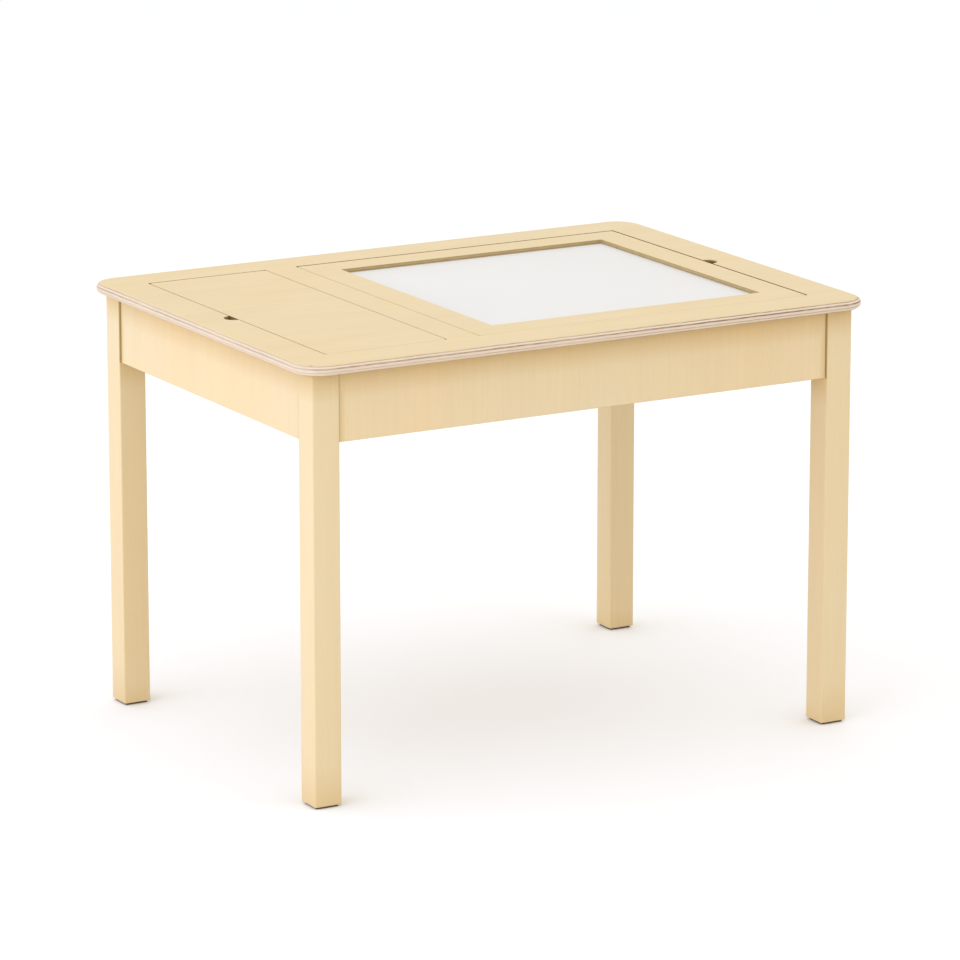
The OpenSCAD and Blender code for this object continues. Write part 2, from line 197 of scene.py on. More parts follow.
def fill(node, inputs):
    """Sets a node's inputs, by name or number, to constants or to what other nodes give."""
    for name, value in dict(inputs).items():
        if isinstance(value, Value):
            value.tree.links.new(value.socket, node.inputs[name])
        else:
            node.inputs[name].default_value = value


def new_node(tree, kind, inputs=(), **settings):
    node = tree.nodes.new(kind)
    for name, value in settings.items():
        setattr(node, name, value)
    fill(node, inputs)
    return node


def add(tree, kind, inputs=(), output=0, **settings):
    """Adds a node and gives one of its outputs."""
    return Value(tree, new_node(tree, kind, inputs, **settings).outputs[output])


def compute(operation, *values):
    """What a Math node gives."""
    tree = next(value.tree for value in values if isinstance(value, Value))
    return add(tree, "ShaderNodeMath", dict(enumerate(values)), operation=operation)


def most(first, *others):
    """The largest of several values."""
    for other in others:
        first = compute("MAXIMUM", first, other)
    return first


def split(place):
    """The X, Y and Z of a vector."""
    node = new_node(place.tree, "ShaderNodeSeparateXYZ", {0: place})
    return [Value(place.tree, socket) for socket in node.outputs]


def vector(tree, x=0.0, y=0.0, z=0.0):
    return add(tree, "ShaderNodeCombineXYZ", {0: x, 1: y, 2: z})


# ---- materials ----


def new_material(name):
    """A material with only its shader and output, and its object coordinates in metres."""
    material = bpy.data.materials.new(name)
    material.use_nodes = True
    tree = material.node_tree
    tree.nodes.clear()
    shader = new_node(tree, "ShaderNodeBsdfPrincipled")
    new_node(tree, "ShaderNodeOutputMaterial", {"Surface": Value(tree, shader.outputs[0])})
    return material, shader, add(tree, "ShaderNodeTexCoord", output="Object")


def along_across(grain, along, across):
    """Cells a metre along the grain's axis and across it."""
    return tuple(along if axis == grain else across for axis in (X, Y, Z))


def noise(place, cells, detail=2.0, rough=0.5, seed=0.0):
    """Noise from 0 to 1 with so many cells a metre along X, Y and Z."""
    scaled = add(place.tree, "ShaderNodeVectorMath", {0: place, 1: cells}, operation="MULTIPLY")
    moved = add(place.tree, "ShaderNodeVectorMath", {0: scaled, 1: (seed, seed, seed)}, operation="ADD")
    inputs = {"Vector": moved, "Scale": 1.0, "Detail": detail, "Roughness": rough}
    return add(place.tree, "ShaderNodeTexNoise", inputs)


def remap(value, low, high, new_low=0.0, new_high=1.0):
    """Value from low to high becomes new_low to new_high, held at the ends."""
    inputs = {"Value": value, "From Min": low, "From Max": high, "To Min": new_low, "To Max": new_high}
    return add(value.tree, "ShaderNodeMapRange", inputs)


def spread(value, low, high):
    """Noise, most of which lies from 0.3 to 0.7, spread from low to high."""
    return remap(value, 0.3, 0.7, low, high)


def mix(share, first, second, blend="MIX"):
    """One colour mixed with another, or multiplied by it, by a share from 0 to 1."""
    inputs = {0: share, 6: first, 7: second}
    return add(share.tree, "ShaderNodeMix", inputs, 2, data_type="RGBA", blend_type=blend)


def shade(tint, brightness):
    """A colour made lighter or darker."""
    tint = tint if isinstance(tint, Value) else tint[:3]
    return add(brightness.tree, "ShaderNodeVectorMath", {0: tint, "Scale": brightness}, operation="SCALE")


def rgba(tint, red=1.0, green=1.0, blue=1.0):
    """A colour property with its channels scaled."""
    return (tint[0] * red, tint[1] * green, tint[2] * blue, 1.0)


def bump(height, relief):
    """Normal of a relief in metres, by a height from 0 to 1."""
    return add(height.tree, "ShaderNodeBump", {"Strength": 1.0, "Distance": relief, "Height": height})


# Strength of a wood's broad figure, fine fibres, dark flecks and blotches
SOLID_LOOK = {"figure": 0.05, "fibre": 0.05, "flecks": 0.06, "blotch": 0.03}
VENEER_LOOK = {"figure": 0.04, "fibre": 0.06, "flecks": 0.08, "blotch": 0.02}
WOOD_RELIEF = 0.03 * MM
FLECK_DEPTH = 0.6
LACQUER_ROUGHNESS = 0.45
THIN_LACQUER_ROUGHNESS = 0.6
LACQUER_SPREAD = 0.05
LACQUER_GLOSS = 0.35


def wood_face(place, grain, tint, figure, fibre, flecks, blotch):
    """Colour and height of a birch face: broad figure, fine fibres and short dark flecks."""
    broad = noise(place, along_across(grain, 1.8, 13), detail=3, rough=0.55)
    patch = noise(place, along_across(grain, 2.6, 4.5), seed=7.3)
    fine = noise(place, along_across(grain, 16, 620), detail=3, rough=0.6)
    thread = noise(place, along_across(grain, 7, 170), seed=3.1)
    dash = remap(noise(place, along_across(grain, 70, 1500), detail=1, seed=11.0), 0.68, 0.76)
    warm = rgba(tint, 1 + blotch / 4, 1 - blotch / 4, 1 - blotch)
    cool = rgba(tint, 1 - blotch / 4, 1 + blotch / 6, 1 + blotch)
    tone = mix(remap(patch, 0.35, 0.65), warm, cool)
    light = broad * figure + (1 - figure / 2)
    light = thread * fibre + (light - fibre / 2)
    light = fine * fibre + (light - fibre / 2)
    light = dash * -flecks + light
    return shade(tone, light), dash * -FLECK_DEPTH + fine


def lacquer(shader, tone, height, place, grain, base):
    """Satin lacquer, a little uneven, over a wood's colour and relief."""
    cloud = noise(place, along_across(grain, 8, 30), seed=5.0)
    fill(shader, {
        "Base Color": tone,
        "Roughness": spread(cloud, base - LACQUER_SPREAD, base + LACQUER_SPREAD),
        "Specular IOR Level": LACQUER_GLOSS,
        "Normal": bump(height, WOOD_RELIEF),
    })


def solid_wood(name, tint, grain, rough=LACQUER_ROUGHNESS, paint_shade=None, **look):
    """Lacquered solid birch with its grain along one axis. Paint shade, if given, darkens its face with
    painted shade.
    """
    material, shader, place = new_material(name)
    face, height = wood_face(place, grain, tint, **{**SOLID_LOOK, **look})
    if paint_shade:
        face = paint_shade(place, face)
    lacquer(shader, face, height, place, grain, rough)
    return material


# The plies of a 15 mm board from one face to the other: thickness in millimetres, and how dark its edge is.
# The two face veneers have no edge colour of their own.
FACE = None
PLIES = (
    (0.8, FACE),
    (1.0, 0.8),
    (3.0, 0.1),
    (1.1, 0.65),
    (3.3, 0.1),
    (2.0, 0.9),
    (1.9, 0.0),
    (1.1, 0.75),
    (0.8, FACE),
)
PLY_SOFTNESS = 0.012
PLY_RELIEF = -1.5


def ply_ramp(depth):
    """1 at the inner plies, and how dark a ply is, by the depth from 0 to 1 through the board."""
    node = new_node(depth.tree, "ShaderNodeValToRGB", {0: depth})
    ramp = node.color_ramp
    total = sum(thickness for thickness, dark in PLIES)
    start = 0.0
    for number, (thickness, dark) in enumerate(PLIES):
        tint = (0.0, 0.0, 0.0, 1.0) if dark is FACE else (1.0, dark, 0.0, 1.0)
        end = start + thickness / total
        first = ramp.elements[0] if number == 0 else ramp.elements.new(start + PLY_SOFTNESS / 2)
        last = ramp.elements[-1] if number == len(PLIES) - 1 else ramp.elements.new(end - PLY_SOFTNESS / 2)
        first.color = tint
        last.color = tint
        start = end
    parts = new_node(depth.tree, "ShaderNodeSeparateColor", {0: Value(depth.tree, node.outputs[0])})
    return Value(depth.tree, parts.outputs["Red"]), Value(depth.tree, parts.outputs["Green"])


# Face attributes: how much of a face's own colour a cut's colour hides, and which painted shade that colour
# is: the shaded cut, 0, the shadowed edge, 1, or the shadowed edge darkening with depth as in a hollow, 2
CUT = "cut"
TONE = "tone"
UNCUT = (0.0, 0.0)
SHADED_CUT = (1.0, 0.0)
SHADOWED = (1.0, 1.0)
HOLLOW = (1.0, 2.0)
# Arrises and recess walls take part of the shadowed edge's painted shade; the underside takes part of the
# shaded cut's colour
ARRIS = (0.45, 1.0)
RECESS = (0.8, 1.0)
UNDERSIDE = (0.4, 0.0)
# What the dark and light plies are scaled by at the ends of the face grain, where each shows its other grain
DARK_AT_ENDS = 0.65
LIGHT_AT_ENDS = 0.94
# How much of the light plies' colour shows through the painted shade of a sawn wall, and what its dark plies
# are scaled by
SAWN_LIGHT = 0.12
SAWN_DARK = 0.3
# How deep the painted shade on a hollow's wall goes on darkening, and what its colour is scaled by at the
# rim, as painted light, and from there down, as painted shade
HOLLOW_DEPTH = 4 * MM
HOLLOW_RIM = 1.5
HOLLOW_FOOT = 0.4


def plywood(name, node, tint, grain, through, context, rough=LACQUER_ROUGHNESS, paint_shade=None, **look):
    """Lacquered birch plywood that fills a node's board: a veneered face, and plies at its edges, stacked
    along the axis through it."""
    low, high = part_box(node)
    colours = context.scene.play_table_colours
    material, shader, place = new_material(name)
    face, height = wood_face(place, grain, tint, **{**VENEER_LOOK, **look})
    if paint_shade:
        face = paint_shade(place, face)
    parts = split(place)
    thick = high[through] - low[through]
    wave = 4 * context.scene.play_table_sizes.ply_wave / thick
    stray = (noise(place, along_across(through, 0, 24), seed=2.0) - 0.5) * wave
    inner, dark = ply_ramp((parts[through] - low[through]) / thick + stray)
    streak = noise(place, along_across(through, 700, 90), seed=9.0)
    slow = noise(place, along_across(through, 0, 5), detail=1, seed=15.0)
    dark = dark * remap(streak, 0.3, 0.55, 0.5, 1.0) * remap(slow, 0.35, 0.65, 0.8, 1.2)
    half = (high[grain] - low[grain]) / 2
    along = abs(parts[grain] - (low[grain] + half))
    dark = dark * remap(along, half - thick, half - thick / 2, 1.0, DARK_AT_ENDS)
    light = shade(rgba(colours.light_ply), spread(streak, 0.9, 1.06))
    light = shade(light, remap(along, half - thick, half - thick / 2, 1.0, LIGHT_AT_ENDS))
    board = mix(inner, face, mix(dark, light, rgba(colours.dark_ply)))
    # Walls of cuts take painted shade: the shaded cut with its plies darkened, and the shadowed edge, which
    # in a hollow is lighter at the rim and darker with depth
    hidden = add(place.tree, "ShaderNodeAttribute", output="Fac", attribute_name=CUT)
    tone = add(place.tree, "ShaderNodeAttribute", output="Fac", attribute_name=TONE)
    sawn = shade(rgba(colours.browned), remap(dark, 0.0, 1.0, 1.0, SAWN_DARK))
    sawn = mix(inner * SAWN_LIGHT, sawn, light)
    painted_wall = shade(mix(tone, sawn, rgba(colours.toned)), spread(streak, 0.85, 1.15))
    sunk = remap(parts[through], high[through] - HOLLOW_DEPTH, high[through], HOLLOW_FOOT, HOLLOW_RIM)
    painted_wall = shade(painted_wall, remap(tone, SHADOWED[1], HOLLOW[1]) * (sunk - 1.0) + 1.0)
    relief = dark * streak * PLY_RELIEF + height
    lacquer(shader, mix(hidden, board, painted_wall), relief, place, grain, rough)
    return material


def made_once(name, make):
    """The material of that name, made if it isn't there."""
    return bpy.data.materials.get(name) or make(name)


def top_plywood(context):
    """One material for the top and both lids, which are sawn from one board."""
    veneer = context.scene.play_table_colours.veneer
    return made_once("top_veneer", lambda name: plywood(name, "table_top", veneer, X, Z, context))


def inner_wood(context, grain):
    """Thinly lacquered birch of the ledges, by the way their grain runs."""
    tint = context.scene.play_table_colours.inner
    look = {"rough": THIN_LACQUER_ROUGHNESS, "figure": 0.09, "fibre": 0.09, "flecks": 0.1}
    return made_once("inner_wood_" + "xyz"[grain], lambda name: solid_wood(name, tint, grain, **look))


# How much painted shade darkens the wood beside a joint, on the inside of a leg below its joint, and at its
# foot
BESIDE_JOINT = 0.8
INSIDE_LEG = 0.25
AT_FOOT = 0.55
# Height of the painted shade at a leg's foot, in shares of that below the top
FOOT_RISE = 1.5


def apron_painted_shade(context, node, length):
    """Paints shade on an apron: darker under the top, beside the legs and along its lower edge."""
    sizes = context.scene.play_table_sizes
    deeper = rgba(context.scene.play_table_colours.sheltered)
    low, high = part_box(node)
    end = high[length]

    def paint_shade(place, face):
        parts = split(place)
        under = remap(parts[Z], high.z - sizes.shelter, high.z)
        beside = remap(abs(parts[length]), end - sizes.joint_shelter, end, 0.0, BESIDE_JOINT)
        lowest = remap(parts[Z], low.z, low.z + sizes.edge_line, 1.0, 0.0)
        return mix(most(under, beside, lowest), face, deeper, "MULTIPLY")

    return paint_shade


def leg_painted_shade(context):
    """Paints shade on the legs: darker under the top, under the aprons and at the floor, and in the joints
    the shadowed edge's painted shade.
    """
    sizes = context.scene.play_table_sizes
    colours = context.scene.play_table_colours
    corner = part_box("leg_back_right")[1]
    setback = corner.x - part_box("apron_right")[1].x
    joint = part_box("apron_front")[0].z

    def paint_shade(place, face):
        parts = split(place)
        below = [corner[axis] - abs(parts[axis]) for axis in (X, Y)]
        nearest = compute("MINIMUM", *below)
        inside = (nearest > sizes.joint_lip) * (most(*below) > sizes.leg_edge)
        under = remap(parts[Z], corner.z - sizes.shelter, corner.z)
        inner = remap(parts[Z], joint - sizes.shelter, joint, INSIDE_LEG, 1.0)
        foot = remap(parts[Z], 0.0, FOOT_RISE * sizes.shelter, AT_FOOT, 0.0)
        face = mix(most(inner * inside, under, foot), face, rgba(colours.sheltered), "MULTIPLY")
        # The strip beside an apron takes the shadowed edge's painted shade
        strip = inside * (nearest < setback + sizes.arris)
        return mix(strip * (parts[Z] > joint), face, rgba(colours.toned))

    return paint_shade


MATT_GLOSS = 0.35
FELT_GLOSS = 0.2


def white_board(tint):
    """Matt white board with the faint peel of a roller."""
    material, shader, place = new_material("matt_white")
    peel = noise(place, (420, 420, 420))
    cloud = noise(place, (5, 5, 5), seed=4.0)
    fill(shader, {
        "Base Color": shade(rgba(tint), spread(cloud, 0.992, 1.006)),
        "Roughness": spread(peel, 0.5, 0.6),
        "Specular IOR Level": MATT_GLOSS,
        "Normal": bump(peel, 0.02 * MM),
    })
    return material


def foot_felt(tint):
    """Dense dark felt: matted fibres of several shades."""
    material, shader, place = new_material("foot_felt")
    fibres = noise(place, (1400, 1400, 1400), detail=4, rough=0.7)
    clumps = noise(place, (260, 260, 260), seed=6.0)
    tone = shade(rgba(tint), spread(fibres, 0.6, 1.7))
    fill(shader, {
        "Base Color": shade(tone, spread(clumps, 0.85, 1.15)),
        "Roughness": 0.95,
        "Specular IOR Level": FELT_GLOSS,
        "Sheen Weight": 0.15,
        "Normal": bump(fibres, 0.15 * MM),
    })
    return material


def zinc(name, tint):
    """Bright zinc on steel: faint crystals, rolling lines and handling marks."""
    material, shader, place = new_material(name)
    crystals = add(place.tree, "ShaderNodeTexVoronoi", {"Vector": place, "Scale": 260.0}, "Color")
    crystal = add(place.tree, "ShaderNodeSeparateColor", {0: crystals})
    marks = noise(place, (90, 90, 900), detail=3, rough=0.6)
    tone = shade(rgba(tint), remap(crystal, 0.0, 1.0, 0.92, 1.05))
    fill(shader, {
        "Base Color": shade(tone, spread(marks, 0.94, 1.04)),
        "Metallic": 1.0,
        "Roughness": spread(marks, 0.26, 0.42),
        "Normal": bump(marks, 0.01 * MM),
    })
    return material


def zinc_plate(context):
    """One material for all the steel pieces."""
    tint = context.scene.play_table_colours.zinc
    return made_once("zinc_plate", lambda name: zinc(name, tint))


# ---- shapes grown by Geometry Nodes ----

ROUND_STEPS = 20
WELD = 0.001 * MM
SHARP = math.radians(35)
TURN = "turn"


def new_shape(name, *sizes):
    """A geometry tree with a named input for each size, which grow sets, and what these inputs give."""
    tree = bpy.data.node_groups.new(name, "GeometryNodeTree")
    tree.interface.new_socket("Places", in_out="INPUT", socket_type="NodeSocketGeometry")
    for label in sizes:
        tree.interface.new_socket(label, in_out="INPUT", socket_type="NodeSocketFloat")
    tree.interface.new_socket("Pieces", in_out="OUTPUT", socket_type="NodeSocketGeometry")
    outputs = tree.nodes.new("NodeGroupInput").outputs
    return tree, *(Value(tree, outputs[label]) for label in sizes)


def end_shape(shape, material):
    """Puts a shape at each of its tree's places, turned as the place says, as a mesh with its material."""
    tree = shape.tree
    smooth = add(tree, "GeometryNodeSetShadeSmooth", {"Geometry": shape})
    angle = add(tree, "GeometryNodeInputMeshEdgeAngle", output="Unsigned Angle")
    creases = {"Geometry": smooth, "Selection": angle > SHARP, "Shade Smooth": False}
    creased = add(tree, "GeometryNodeSetShadeSmooth", creases, domain="EDGE")
    turn = add(tree, "GeometryNodeInputNamedAttribute", {"Name": TURN}, data_type="QUATERNION")
    places = Value(tree, tree.nodes["Group Input"].outputs["Places"])
    copies = {"Points": places, "Instance": creased, "Rotation": turn}
    real = add(tree, "GeometryNodeRealizeInstances", {0: add(tree, "GeometryNodeInstanceOnPoints", copies)})
    made = add(tree, "GeometryNodeSetMaterial", {"Geometry": real, "Material": material})
    new_node(tree, "NodeGroupOutput", {0: made})
    return tree


def join(*shapes):
    """Several meshes as one."""
    node = new_node(shapes[0].tree, "GeometryNodeJoinGeometry")
    for shape in shapes:
        fill(node, {0: shape})
    return Value(shapes[0].tree, node.outputs[0])


def cut(operation, body, *tools):
    """A Boolean of a body with one or more tools."""
    node = new_node(body.tree, "GeometryNodeMeshBoolean", operation=operation, solver="EXACT")
    fill(node, {"Mesh 1" if operation == "DIFFERENCE" else "Mesh 2": body})
    for tool in tools:
        fill(node, {"Mesh 2": tool})
    return Value(body.tree, node.outputs[0])


def placed(shape, place, turn=(0, 0, 0)):
    """A shape moved and turned."""
    inputs = {"Geometry": shape, "Translation": place, "Rotation": turn}
    return add(shape.tree, "GeometryNodeTransform", inputs)


def pick(index, values):
    """The value that an index picks from a list."""
    node = new_node(index.tree, "GeometryNodeIndexSwitch", data_type="FLOAT")
    while len(node.index_switch_items) < len(values):
        node.index_switch_items.new()
    fill(node, dict(enumerate((index, *values))))
    return Value(index.tree, node.outputs[0])


def wrapped(tree, rows, form):
    """A sheet of so many rows wrapped round Z, its seam and poles closed. Form gives radius and height
    from a point's turn, from 0 to 1, and its row."""
    sheet = {"Size X": 1.0, "Size Y": 1.0, "Vertices X": ROUND_STEPS + 1, "Vertices Y": rows}
    grid = add(tree, "GeometryNodeMeshGrid", sheet, "Mesh")
    spot = split(add(tree, "GeometryNodeInputPosition"))
    turn = spot[X] + 0.5
    radius, height = form(turn, compute("ROUND", (spot[Y] + 0.5) * (rows - 1.0)))
    angle = turn * math.tau
    place = vector(tree, radius * compute("COSINE", angle), radius * compute("SINE", angle), height)
    bent = add(tree, "GeometryNodeSetPosition", {"Geometry": grid, "Position": place})
    return add(tree, "GeometryNodeMergeByDistance", {"Geometry": bent, "Distance": WELD})


def lathe(tree, *rings):
    """A body turned about Z from rings of radius and height: from its lower pole up to its upper pole,
    or outwards round a bore and back to the first ring."""
    radii, heights = zip(*rings)
    return wrapped(tree, len(rings), lambda turn, row: (pick(row, radii), pick(row, heights)))


# Height of a thread at equal steps of one turn, in shares of its depth
V_THREAD = (0.0, 0.5, 1.0, 0.5)
WOOD_THREAD = (0.0, 0.0, 1.0, 0.0)
# Length of a wood thread's tip, in radii
TIP = 2.0
# Share of a screw head's height from which its shaft starts, inside the head
SHAFT_START = 0.9


def threaded(start, end, crest, depth, pitch, tip, thread):
    """A closed shaft along Z with a right-hand thread, which runs out to a point over the length of its tip.
    The sheet's rows follow the helix, so each row keeps its place in the thread."""
    tree = end.tree
    steps = float(len(thread))
    length = end - start
    rows = (compute("CEIL", length / pitch) + 2.0) * steps + 1.0

    def form(turn, row):
        along = (row / steps + (turn - 1.0)) * pitch
        core = crest - depth
        ridge = pick(compute("MODULO", row, steps), thread)
        radius = compute("MINIMUM", ridge * depth + core, core + along)
        left = add(tree, "ShaderNodeClamp", {0: (length - along) / tip})
        inside = add(tree, "ShaderNodeClamp", {0: along, "Min": 0.0, "Max": length})
        return radius * left * (along > WELD), inside + start

    return wrapped(tree, rows, form)


FILLET_STEPS = 5


def post(tree, width, length, edge, chamfer):
    """A square post standing on the origin, with rounded long edges and chamfered ends."""
    outline = add(tree, "GeometryNodeCurvePrimitiveQuadrilateral", {"Width": width, "Height": width})
    fillet = {"Curve": outline, "Radius": edge, "Count": FILLET_STEPS}
    outline = add(tree, "GeometryNodeFilletCurve", fillet, mode="POLY")
    index = add(tree, "GeometryNodeInputIndex")
    heights = (0.0, chamfer, length - chamfer, length)
    narrowed = 1.0 - chamfer * 2.0 / width
    line = add(tree, "GeometryNodeCurvePrimitiveLine")
    line = add(tree, "GeometryNodeResampleCurve", {"Curve": line, "Count": len(heights)})
    place = vector(tree, z=pick(index, heights))
    line = add(tree, "GeometryNodeSetPosition", {"Geometry": line, "Position": place})
    scale = pick(index, (narrowed, 1.0, 1.0, narrowed))
    sweep = {"Curve": line, "Profile Curve": outline, "Scale": scale, "Fill Caps": True}
    return add(tree, "GeometryNodeCurveToMesh", sweep)


def leg_shape(material):
    """A leg with its bolt hole, drawn into the edge between its +X and +Y sides."""
    tree, width, length, edge, chamfer, height, bore, depth = new_shape(
        "leg_shape", "Width", "Length", "Leg edge", "Leg end", "Bolt height", "Bore", "Bore depth"
    )
    tool = {"Vertices": ROUND_STEPS, "Radius": bore, "Depth": depth * 2.0}
    tool = add(tree, "GeometryNodeMeshCylinder", tool, "Mesh")
    mouth = vector(tree, width / 2.0, width / 2.0, height)
    tool = placed(tool, mouth, (0, math.pi / 2, math.pi / 4))
    return end_shape(cut("DIFFERENCE", post(tree, width, length, edge, chamfer), tool), material)


def pad_shape(material):
    tree, width, length, edge, chamfer = new_shape("pad_shape", "Width", "Length", "Leg edge", "Pad edge")
    return end_shape(post(tree, width, length, edge, chamfer), material)


def screw_shape(material):
    """A wood screw along +Z from its head's outer face, which has a cross recess."""
    tree, length, radius, face, neck, height, edge, slot_width, slot_depth, depth, pitch = new_shape(
        "screw_shape", "Length", "Radius", "Face radius", "Neck radius", "Head height", "Steel edge",
        "Recess width", "Recess depth", "Screw depth", "Screw pitch",
    )
    eased = (neck - face) / height * edge + face
    head = lathe(tree, (0.0, 0.0), (face - edge, 0.0), (eased, edge), (neck, height), (0.0, height))
    arm = vector(tree, face, slot_width, slot_depth * 2.0)
    bar = add(tree, "GeometryNodeMeshCube", {"Size": arm}, "Mesh")
    head = cut("DIFFERENCE", head, bar, placed(bar, (0, 0, 0), (0, 0, math.pi / 2)))
    shaft = threaded(height * SHAFT_START, length, radius, depth, pitch, radius * TIP, WOOD_THREAD)
    return end_shape(join(head, shaft), material)


def bolt_shape(material):
    """A hanger bolt along +Z: a machine thread, a plain length of shank and a wood thread."""
    tree, length, radius, machine, plain, depth, pitch, lag_depth, lag_pitch = new_shape(
        "bolt_shape", "Length", "Radius", "Machine length", "Plain length", "Thread depth", "Thread pitch",
        "Lag depth", "Lag pitch",
    )
    lag_start = machine + plain
    outer = threaded(0.0, machine + pitch, radius, depth, pitch, pitch, V_THREAD)
    inner = threaded(lag_start - lag_pitch, length, radius, lag_depth, lag_pitch, radius * TIP, WOOD_THREAD)
    shank = lathe(tree, (0.0, machine), (radius, machine), (radius, lag_start), (0.0, lag_start))
    return end_shape(join(outer, shank, inner), material)


def washer_shape(material):
    """A flat washer standing on the origin, with eased edges."""
    tree, radius, bore, thick, edge = new_shape("washer_shape", "Radius", "Bore", "Length", "Steel edge")
    out, wide, up = radius - edge, bore + edge, thick - edge
    lower = ((bore, edge), (wide, 0.0), (out, 0.0), (radius, edge))
    upper = ((radius, up), (out, thick), (wide, thick), (bore, up))
    return end_shape(lathe(tree, *lower, *upper, lower[0]), material)


# The cone that cuts back a nut's corners: its radius at the nut's faces, in shares of that between its flats,
# and where it ends, in shares of the corners' radius
CONE_START = 0.97
CONE_END = 1.02
SIXTH = math.pi / 6


def nut_shape(material):
    """A hexagon nut standing on the origin, its corners cut back by a cone at either end."""
    tree, corner, bore, thick = new_shape("nut_shape", "Radius", "Bore", "Length")
    hexagon = add(tree, "GeometryNodeMeshCylinder", {"Vertices": 6, "Radius": corner, "Depth": thick}, "Mesh")
    hexagon = placed(hexagon, vector(tree, z=thick / 2.0))
    flat = corner * (CONE_START * math.cos(SIXTH))
    past = corner * CONE_END
    rise = (past - flat) * math.tan(SIXTH)
    rings = ((bore, 0.0), (flat, 0.0), (past, rise), (past, thick - rise), (flat, thick), (bore, thick))
    return end_shape(cut("INTERSECT", hexagon, lathe(tree, *rings, rings[0])), material)


def grow(context, node, tree, places, measured):
    """Grows a tree's shape at its places, each a point and a turn, to stand for a node. An input takes the
    measured size of its name, or else the table's property of that name."""
    name = node + "_finished"
    mesh = bpy.data.meshes.new(name)
    mesh.from_pydata([point for point, turn in places], [], [])
    turns = mesh.attributes.new(TURN, "QUATERNION", "POINT")
    for item, (point, turn) in zip(turns.data, places):
        item.value = turn
    holder = bpy.data.objects.new(name, mesh)
    context.collection.objects.link(holder)
    modifier = holder.modifiers.new("Shape", "NODES")
    modifier.node_group = tree
    for socket in tree.interface.items_tree:
        label = socket.name.lower().replace(" ", "_")
        if label in measured:
            modifier[socket.identifier] = measured[label]
        elif socket.socket_type == "NodeSocketFloat":
            modifier[socket.identifier] = getattr(context.scene.play_table_sizes, label)
    show(context, name, plain_mesh(context, holder), node)


# ---- what the frame says of the fasteners ----


def solids(node):
    """The separate solids of a CAD node, each as a list of its points."""
    shape = clean_copy(node)
    found = []
    for first in shape.verts:
        points = []
        front = [first]
        while front:
            vert = front.pop()
            if not vert.tag:
                vert.tag = True
                points.append(vert.co.copy())
                front += (edge.other_vert(vert) for edge in vert.link_edges)
        if points:
            found.append(points)
    shape.free()
    return found


def middle_of(points):
    return Vector([(min(values) + max(values)) / 2 for values in zip(*points)])


def span_of(values):
    return max(values) - min(values)


def measure(points, direction):
    """Start and length of a solid turned about a direction, and each point's distance along its axis and
    from it."""
    along = [point.dot(direction) for point in points]
    across = [point - direction * step for point, step in zip(points, along)]
    axis = middle_of(across)
    low = min(along)
    radii = [(point - axis).length for point in across]
    return axis + direction * low, max(along) - low, [step - low for step in along], radii


def radius_at(end, along, radii):
    """Largest radius of a solid at one distance along its axis."""
    return max(radius for step, radius in zip(along, radii) if abs(step - end) < 10 * WELD)


def facing(direction):
    """Turn that brings Z to a direction and leaves X level."""
    return direction.to_track_quat("Z", "Y")


def outward(points):
    """Level direction from the table's middle to the corner that a solid belongs to."""
    middle = middle_of(points)
    return Vector((math.copysign(1, middle.x), math.copysign(1, middle.y), 0)).normalized()


def into_apron(points):
    """Direction of a bracket screw: outwards along its longest side."""
    spans = [span_of(values) for values in zip(*points)]
    axis = spans.index(max(spans))
    direction = Vector((0, 0, 0))
    direction[axis] = math.copysign(1, middle_of(points)[axis])
    return direction


# ---- pieces ----


def show(context, name, mesh, node):
    """Puts a finished mesh on its node's body, in its place."""
    piece = bpy.data.objects.new(name, mesh)
    context.collection.objects.link(piece)
    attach(piece, frame["nodes"][node]["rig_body"])
    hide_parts(node)


FLAT = math.radians(0.5)
ARRIS_STEPS = 2


def clean_copy(node):
    """A node's mesh as a bmesh with its triangles welded and its flat areas made whole."""
    shape = bmesh.new()
    shape.from_mesh(frame["nodes"][node].data)
    bmesh.ops.remove_doubles(shape, verts=shape.verts, dist=WELD)
    bmesh.ops.dissolve_limit(shape, angle_limit=FLAT, verts=shape.verts, edges=shape.edges)
    return shape


def ease(shape, edges, width, steps=ARRIS_STEPS):
    """Rounds edges of a bmesh."""
    bmesh.ops.bevel(
        shape, geom=edges, offset=width, offset_type="OFFSET", segments=steps, profile=0.5, affect="EDGES",
        clamp_overlap=False,
    )


def sharp_edges(shape):
    return [edge for edge in shape.edges if edge.is_manifold and edge.calc_face_angle() > SHARP]


def smooth_mesh(context, shape, name, material):
    """A mesh from a bmesh, without slivers, shaded smooth with its large faces kept flat."""
    bmesh.ops.dissolve_degenerate(shape, dist=WELD, edges=shape.edges)
    for face in shape.faces:
        face.smooth = True
    mesh = bpy.data.meshes.new(name)
    shape.to_mesh(mesh)
    shape.free()
    mesh.materials.append(material)
    holder = bpy.data.objects.new(name, mesh)
    context.collection.objects.link(holder)
    holder.modifiers.new("Flat faces", "WEIGHTED_NORMAL")
    return plain_mesh(context, holder)


def plain_mesh(context, holder):
    """The evaluated mesh of an object, which is then removed."""
    context.view_layer.update()
    graph = context.evaluated_depsgraph_get()
    mesh = bpy.data.meshes.new_from_object(holder.evaluated_get(graph), depsgraph=graph)
    bpy.data.objects.remove(holder)
    return mesh


